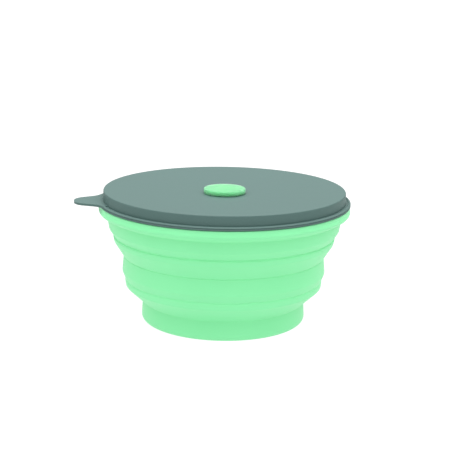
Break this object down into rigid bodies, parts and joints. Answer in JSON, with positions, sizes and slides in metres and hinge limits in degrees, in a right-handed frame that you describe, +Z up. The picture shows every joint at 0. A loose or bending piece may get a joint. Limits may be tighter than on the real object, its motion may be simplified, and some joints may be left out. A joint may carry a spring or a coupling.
{
  "type": "collapsible food container",
  "caption": "Round collapsible silicone food container with two folding webs, a press-on lid with a pull tab, and a pull-up vent plug.",
  "frame": {"origin": "centre of the flat underside of the base cup", "axes": "+Z up along the bowl's axis, pull tab towards -X"},
  "size_m": [0.1814, 0.1656, 0.0891],
  "materials": {
    "bowl_silicone": "satin moulded silicone, mint green",
    "plug_silicone": "satin moulded silicone, mint green",
    "lid_plastic": "satin moulded plastic, grey green"
  },
  "bodies": {
    "base": {"base_cup": "bowl_silicone", "lower_web": "bowl_silicone"},
    "middle_tier": {"middle_band": "bowl_silicone", "upper_web": "bowl_silicone"},
    "upper_tier": {"upper_band": "bowl_silicone", "rim": "bowl_silicone"},
    "lid": {"lid": "lid_plastic"},
    "vent_plug": {"vent_plug": "plug_silicone"}
  },
  "joints": [
    {"name": "lower_fold", "type": "slide", "parent": "base", "child": "middle_tier", "axis": [0, 0, -1], "range_m": [0, 0.022], "deforming": ["lower_web"]},
    {"name": "upper_fold", "type": "slide", "parent": "middle_tier", "child": "upper_tier", "axis": [0, 0, -1], "range_m": [0, 0.024], "deforming": ["upper_web"]},
    {"name": "lid_lift", "type": "slide", "parent": "upper_tier", "child": "lid", "axis": [0, 0, 1], "range_m": [0, 0.06]},
    {"name": "vent_pull", "type": "slide", "parent": "lid", "child": "vent_plug", "axis": [0, 0, 1], "range_m": [0, 0.003]}
  ]
}
